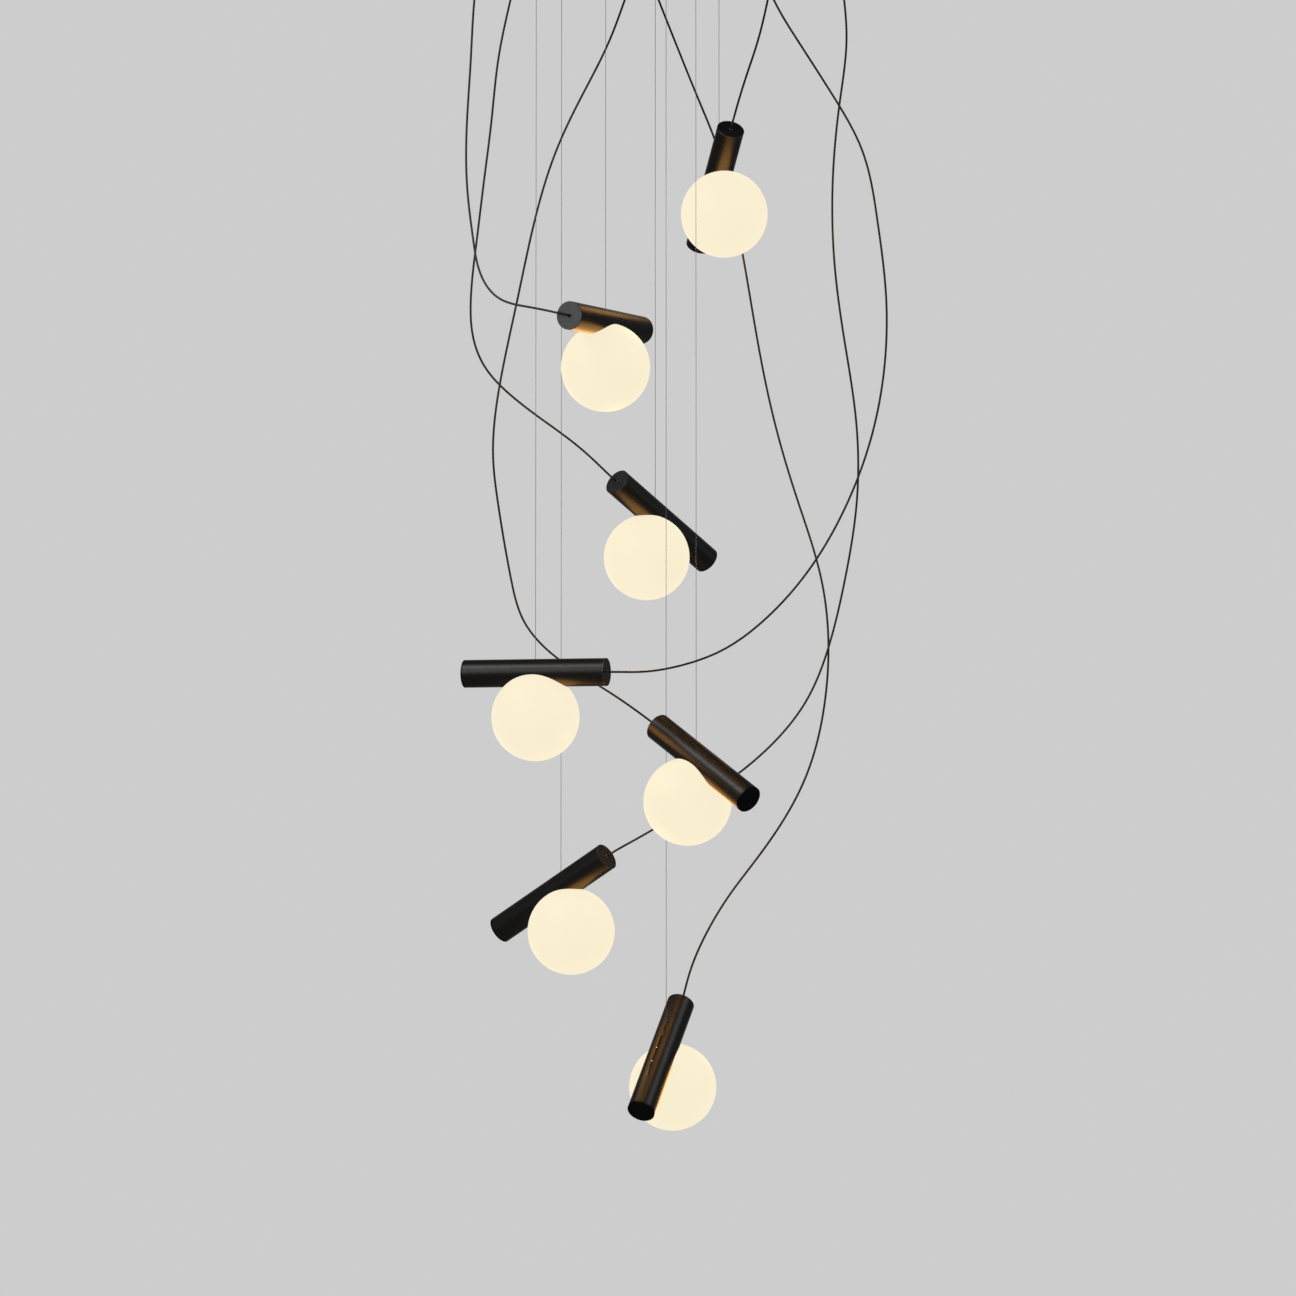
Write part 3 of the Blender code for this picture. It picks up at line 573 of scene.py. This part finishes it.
def globe_mesh():
    """Hollow globe that ends in its neck's opening."""
    inner = GLOBE_RADIUS - GLASS_WALL
    outer_neck, inner_neck = math.acos(NECK_RADIUS / GLOBE_RADIUS), math.acos(NECK_RADIUS / inner)
    outline = [(0, -inner)] + arc(inner, -math.pi / 2, inner_neck, steps=40)[1:]
    outline += arc(GLOBE_RADIUS, outer_neck, -math.pi / 2, steps=64)[:-1] + [(0, -GLOBE_RADIUS)]
    return revolved("globe", outline, sides=96)


def cap_mesh(name, bore):
    """Cap with its face at Z = 0 and a fine rim chamfer; the cord's cap has a countersunk hole."""
    foot, seat = -CAP_FACE - SPIGOT_DEPTH, TUBE_RADIUS - TUBE_WALL - SPIGOT_GAP
    outer = [(TUBE_RADIUS - RIM_CHAMFER, 0), (TUBE_RADIUS, -RIM_CHAMFER), (TUBE_RADIUS, -CAP_FACE)]
    outer += [(seat, -CAP_FACE), (seat, foot)]
    if not bore:
        return revolved(name, [(0, 0)] + outer + [(0, foot)], sides=128)
    hole = [(bore, foot), (bore, -SINK_DEPTH), (bore + SINK_WIDTH / 6, -SINK_DEPTH / 2)]
    return revolved(name, [(bore + SINK_WIDTH, 0)] + outer + hole, sides=128, closed=True)


def bored(name, outline, bore, rise=0):
    """Small turned piece with a straight hole through it; the hole's upper edge is at the given rise."""
    return revolved(name, [(bore, rise), *outline, (bore, outline[-1][1])], sides=40, closed=True)


def painted_glint_mesh():
    """Small dot that glows: a painted glint of light on the slot's wall."""
    top = PAINTED_GLINT_RADIUS - PAINTED_GLINT_CHAMFER
    return revolved("painted_glint", [(0, PAINTED_GLINT_HEIGHT), (top, PAINTED_GLINT_HEIGHT), (PAINTED_GLINT_RADIUS, 0), (0, 0)], sides=20)


def wire_mesh(drop):
    """Thin wire with a round ball at its foot and a crimped stop above the canopy's floor."""
    seat = drop + PAN_FLOOR + SEAT_GAP
    top, narrow = seat + FERRULE_LENGTH, FERRULE_RADIUS - FERRULE_CHAMFER
    stop = [(0, top), (narrow, top), (FERRULE_RADIUS, top - FERRULE_CHAMFER)]
    stop += [(FERRULE_RADIUS, seat + FERRULE_CHAMFER), (narrow, seat), (WIRE_RADIUS, seat)]
    ball = arc(BALL_RADIUS, math.acos(WIRE_RADIUS / BALL_RADIUS), -math.pi / 2, steps=16)[:-1]
    return revolved("wire", stop + ball + [(0, -BALL_RADIUS)], sides=24)


def steps_along(path):
    """Lengths of the steps between a path's points."""
    return np.linalg.norm(np.diff(path, axis=0), axis=1)


def spline(points, pitch):
    """Evenly spaced points on the natural cubic spline through a route, as in the part."""
    knots = np.array(points, float)
    spans = steps_along(knots)
    at = np.concatenate([[0], np.cumsum(spans)])
    size = len(knots)
    system, right = np.eye(size), np.zeros((size, 3))
    for i in range(1, size - 1):
        before, after = spans[i - 1], spans[i]
        system[i, i - 1 : i + 2] = before, 2 * (before + after), after
        right[i] = 6 * ((knots[i + 1] - knots[i]) / after - (knots[i] - knots[i - 1]) / before)
    bends = np.linalg.solve(system, right)
    made = []
    for t in np.linspace(0, at[-1], round(at[-1] / pitch)):
        i = min(int(np.searchsorted(at, t, side="right")) - 1, size - 2)
        a, b, span = (at[i + 1] - t) / spans[i], (t - at[i]) / spans[i], spans[i]
        curve = (a**3 - a) * bends[i] + (b**3 - b) * bends[i + 1]
        made.append(a * knots[i] + b * knots[i + 1] + curve * span**2 / 6)
    return np.array(made)


def swept(name, path):
    """Round cord along a path, with its ends closed."""
    ahead = np.gradient(path, axis=0)
    ahead /= np.linalg.norm(ahead, axis=1)[:, None]
    side = np.cross(ahead[0], (0.3, 0.9, 0.1))
    turns = [2 * math.pi * i / CORD_SIDES for i in range(CORD_SIDES)]
    cage = bmesh.new()
    rings = []
    for point, way in zip(path, ahead):
        side = side - way * (side @ way)
        side /= np.linalg.norm(side)
        up = np.cross(way, side)
        ring = [point + CORD_RADIUS * (math.cos(a) * side + math.sin(a) * up) for a in turns]
        rings.append([cage.verts.new(place) for place in ring])
    for first, second in zip(rings, rings[1:]):
        for i in range(CORD_SIDES):
            j = (i + 1) % CORD_SIDES
            cage.faces.new((first[i], first[j], second[j], second[i]))
    cage.faces.new(rings[0][::-1])
    cage.faces.new(rings[-1])
    return smoothed(finished(cage, name), angle=50)


def eased(route, corner, after):
    """The route with its last stretch drawn as one soft bend round the corner towards the point after it."""
    back = np.linalg.norm(route - corner, axis=1)
    kept = route[: int(np.argmax(back < BEND_REACH))]
    start = kept[-1]
    ways = np.linspace(0, 1, BEND_STEPS + 1)[1:]
    bend = [(1 - t) ** 2 * start + 2 * t * (1 - t) * corner + t**2 * after for t in ways]
    return np.concatenate([kept, bend])


def pendant_matrix(place, drop, heading, rise):
    """Frame at a wire's ball, turned and tilted with the pendant's tube."""
    turn = Matrix.Rotation(math.radians(heading), 4, "Z") @ Matrix.Rotation(-math.radians(rise), 4, "Y")
    across = [share * CLUSTER_RADIUS for share in place]
    return Matrix.Translation((*across, -drop * LONGEST_DROP)) @ turn


def cord_path(number, cap_face, corner, outward):
    """Points along a cord, from inside the canopy to inside its cap."""
    entry = [share * CANOPY_RADIUS for share in CORD_ENTRY_SHARES[number - 1]]
    head = np.array([(*entry, PAN_FLOOR + CORD_INSIDE), (*entry, -CANOPY_HEIGHT)])
    top = (*entry, -CANOPY_HEIGHT - GLAND_LENGTH - CORD_RADIUS)
    route = spline([top, *CORD_ROUTES[number - 1], corner], CORD_PITCH)
    route = eased(route, corner, cap_face + outward * BEND_END)
    foot = np.array([cap_face - outward * depth for depth in (0.0, CORD_INSIDE / 2, CORD_INSIDE)])
    return np.concatenate([head, route, foot])


def add_cord(number, cap_face, outward, finish):
    """A cord in four lengths: the first rides on the ceiling assembly, the other three stay where they are
    drawn.
    """
    corner = cap_face + outward * CORD_STRAIGHT
    path = cord_path(number, cap_face, corner, outward)
    steps = steps_along(path)
    left = steps.sum() - np.concatenate([[0], np.cumsum(steps)])
    reaches = np.cumsum(CORD_BENDS[number - 1])[::-1] + CORD_STRAIGHT + CORD_INSIDE
    cuts = [0] + [int(np.argmax(left <= reach)) for reach in reaches] + [len(path) - 1]
    bodies = ("ceiling_assembly", f"hanger_{number}", f"shuttle_{number}", f"pendant_{number}")
    for k, part in enumerate(("top", "upper", "middle", "end")):
        points = path[cuts[k] : cuts[k + 1] + 1]
        mesh = swept(f"cord_{number}_{part}", points)
        mesh.materials.append(finish)
        obj = bpy.data.objects.new(f"cord_{number}_{part}", mesh)
        scene.collection.objects.link(obj)
        if part == "top":
            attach(obj, bodies[0])
        else:
            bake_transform(obj)
        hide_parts(f"cord_{number}")


def add_lamp(number, place, body):
    """Warm lamp that fills a globe and lights what is near it."""
    data = bpy.data.lights.new(f"lamp_{number}", "POINT")
    data.color = LAMP
    data.energy = LAMP_WATTS
    data.shadow_soft_size = LAMP_RADIUS
    obj = bpy.data.objects.new(f"lamp_{number}", data)
    scene.collection.objects.link(obj)
    obj.location = place
    obj.visible_camera = False
    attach(obj, body)


def pendant_finishes():
    """Materials of the pendants, by the piece that they cover."""
    made = {
        "tube": dark_metal("tube_metal", (0.0112, 0.0109, 0.0106), rough=0.36, edge=(0.56, 0.56, 0.56)),
        "cord_cap": dark_metal("cord_cap_metal", (0.021, 0.021, 0.021), rough=0.34, edge=(0.45, 0.45, 0.45),
                               metallic=0.78),
        "end_cap": dark_metal("end_cap_metal", (0.007, 0.007, 0.007), rough=0.36, edge=(0.35, 0.35, 0.35)),
        "globe": opal(),
        # Painted glints: the dots in the slot glow a pale warm white
        "painted_glint": glow_material("painted_glint_glow", (1.0, 0.86, 0.62), PAINTED_GLINT_STRENGTH),
        "wire": shader("wire_metal", (0.060, 0.066, 0.080), rough=0.42, vary=0.1, grain=2600, metallic=1.0,
                       bump=0.1),
        "cord": shader("cord_skin", (0.003, 0.003, 0.003), rough=0.42, vary=0.25, grain=1800),
        "rubber": shader("slider_rubber", (0.012, 0.012, 0.012), rough=0.75, vary=0.2, grain=1500, bump=0.2),
        "module": shader("module_metal", (0.05, 0.05, 0.052), rough=0.45, vary=0.08, grain=1500, metallic=1.0,
                         bump=0.08, stretch=(0.1, 1, 1)),
    }
    # Painted light: the slot's walls glow a dim warm orange
    paint_slot_light(made["tube"])
    skin = made["cord"].node_tree.nodes["Principled BSDF"]
    skin.inputs["Specular IOR Level"].default_value = 0.45
    skin.inputs["IOR"].default_value = 1.25
    return made


def add_pendants():
    """Seven equal pendants, each with its wire, lamp and cord."""
    finishes = pendant_finishes()
    tube, globe = tube_mesh(), globe_mesh()
    grommet = bored("grommet", BUSH_OUTLINE, CORD_RADIUS + BUSH_GAP, BUSH_RISE)
    cord_cap, end_cap = cap_mesh("cord_cap", CORD_HOLE_RADIUS), cap_mesh("end_cap", 0)
    painted_glint = painted_glint_mesh()
    cord_end = Matrix.Translation((PENDANT_LENGTH / 2, 0, 0)) @ Matrix.Rotation(math.pi / 2, 4, "Y")
    blind_end = Matrix.Translation((-PENDANT_LENGTH / 2, 0, 0)) @ Matrix.Rotation(-math.pi / 2, 4, "Y")
    centre = Vector((0, 0, -GLOBE_RADIUS))
    for number, (place, drop, heading, rise) in enumerate(PENDANT_SHARES, 1):
        body = f"pendant_{number}"
        hang = pendant_matrix(place, drop, heading, rise)
        axis = hang @ Matrix.Translation((-BALANCE_DROP * math.tan(math.radians(rise)), 0, -PIVOT_HEIGHT))
        piece(f"tube_skin_{number}", tube, finishes["tube"], body, axis, [f"tube_{number}"])
        piece(f"cord_cap_skin_{number}", cord_cap, finishes["cord_cap"], body, axis @ cord_end,
              [f"cord_cap_{number}"])
        piece(f"end_cap_skin_{number}", end_cap, finishes["end_cap"], body, axis @ blind_end,
              [f"end_cap_{number}"])
        piece(f"grommet_{number}", grommet, finishes["rubber"], body, axis @ cord_end)
        shade = piece(f"globe_skin_{number}", globe, finishes["globe"], body,
                      axis @ Matrix.Translation(centre), [f"globe_{number}"])
        shade.visible_shadow = False
        shade.visible_glossy = False
        # Painted glints: two glowing dots on the slot's far wall, where light from inside would fall
        for side, x in PAINTED_GLINT_PLACES.items():
            spot = Matrix.Translation((x, SLOT_WIDTH / 2 - PAINTED_GLINT_INSET, TUBE_RADIUS - TUBE_WALL / 2))
            face = Matrix.Rotation(math.pi / 2, 4, "X")
            piece(f"leak_{number}_{side}", painted_glint, finishes["painted_glint"], body, axis @ spot @ face)
        piece(f"wire_skin_{number}", wire_mesh(drop * LONGEST_DROP), finishes["wire"],
              f"hanger_{number}", Matrix.Translation(hang.translation), [f"wire_{number}"])
        refinish(f"light_module_{number}", finishes["module"])
        refinish(f"slider_{number}", finishes["rubber"])
        add_lamp(number, axis @ centre, body)
        cap_face = np.array(axis @ Vector((PENDANT_LENGTH / 2, 0, 0)))
        outward = np.array(axis.to_3x3() @ Vector((1, 0, 0)))
        add_cord(number, cap_face, outward, finishes["cord"])


def canopy_mesh():
    """Round pan with a rounded lower edge and a hole for each wire and cord."""
    centre = (CANOPY_RADIUS - CANOPY_FILLET, CANOPY_FILLET - CANOPY_HEIGHT)
    outline = [(0, PAN_FLOOR)] + arc(CANOPY_FILLET - CANOPY_WALL, -math.pi / 2, 0, steps=8, centre=centre)
    outline += [(CANOPY_RADIUS - CANOPY_WALL, -CEILING_GAP), (CANOPY_RADIUS, -CEILING_GAP)]
    outline += arc(CANOPY_FILLET, 0, -math.pi / 2, steps=8, centre=centre) + [(0, -CANOPY_HEIGHT)]
    pan = revolved("canopy_skin", outline, sides=192)
    places = [(WIRE_RADIUS + WIRE_HOLE_GAP, [s * CLUSTER_RADIUS for s in p[0]]) for p in PENDANT_SHARES]
    places += [(CORD_RADIUS + CORD_HOLE_GAP, [s * CANOPY_RADIUS for s in p]) for p in CORD_ENTRY_SHARES]
    holes = []
    for radius, place in places:
        side = [(0, HOLE_OVERRUN), (radius, HOLE_OVERRUN), (radius, -HOLE_OVERRUN), (0, -HOLE_OVERRUN)]
        hole = revolved("hole", side, sides=24)
        hole.transform(Matrix.Translation((*place, PAN_FLOOR)))
        holes.append(hole)
    return smoothed(cut(pan, holes), angle=28)


def add_canopy():
    """Canopy with its grips and glands, and materials for what it covers."""
    body = "ceiling_assembly"
    coat = dark_metal("canopy_coat", (0.030, 0.029, 0.028), rough=0.42, edge=(0.25, 0.25, 0.25))
    chrome = shader("grip_metal", (0.30, 0.30, 0.30), rough=0.28, vary=0.06, grain=1200, metallic=1.0)
    nylon = shader("gland_nylon", (0.014, 0.014, 0.014), rough=0.5, vary=0.2, grain=900)
    piece("canopy_skin", canopy_mesh(), coat, body, Matrix(), ["canopy"])
    grip, gland = bored("grip", GRIP_OUTLINE, GRIP_BORE), bored("gland", GLAND_OUTLINE, GLAND_BORE)
    for number, (pendant, entry) in enumerate(zip(PENDANT_SHARES, CORD_ENTRY_SHARES), 1):
        wire_at = (*(s * CLUSTER_RADIUS for s in pendant[0]), -CANOPY_HEIGHT - FITTING_GAP)
        cord_at = (*(s * CANOPY_RADIUS for s in entry), -CANOPY_HEIGHT - FITTING_GAP)
        piece(f"grip_{number}", grip, chrome, body, Matrix.Translation(wire_at))
        piece(f"gland_{number}", gland, nylon, body, Matrix.Translation(cord_at))
    zinc = shader("zinc_plate", (0.42, 0.42, 0.43), rough=0.42, vary=0.12, grain=260, metallic=1.0)
    case = shader("driver_plastic", (0.70, 0.70, 0.67), rough=0.55, vary=0.03, grain=1200, bump=0.12)
    block = shader("terminal_plastic", (0.55, 0.53, 0.45), rough=0.5, vary=0.05, grain=1200, bump=0.10)
    for node, finish in (("ceiling_bar", zinc), ("driver", case), ("terminal_block", block)):
        refinish(node, finish)


def add_floor():
    """Plain floor far below the lamp, as pale as the backdrop where it shows."""
    mesh = revolved("floor", [(0, 0), (FLOOR_RADIUS, 0)], sides=128)
    paint = shader("floor_paint", (0.50, 0.50, 0.50), rough=0.8, vary=0.01, grain=30, bump=0.0)
    nodes, links = paint.node_tree.nodes, paint.node_tree.links
    nodes["Principled BSDF"].inputs["Emission Color"].default_value = (*FLOOR_GLOW, 1)
    links.new(seen_rays(nodes, links), nodes["Principled BSDF"].inputs["Emission Strength"])
    mesh.materials.append(paint)
    obj = bpy.data.objects.new("floor", mesh)
    obj.location = (0, 0, -FLOOR_DEPTH)
    scene.collection.objects.link(obj)


camera()
world()
for name, (direction, size, watts) in SOFTBOXES.items():
    softbox(name, direction, size, watts)
add_pendants()
add_canopy()
add_floor()
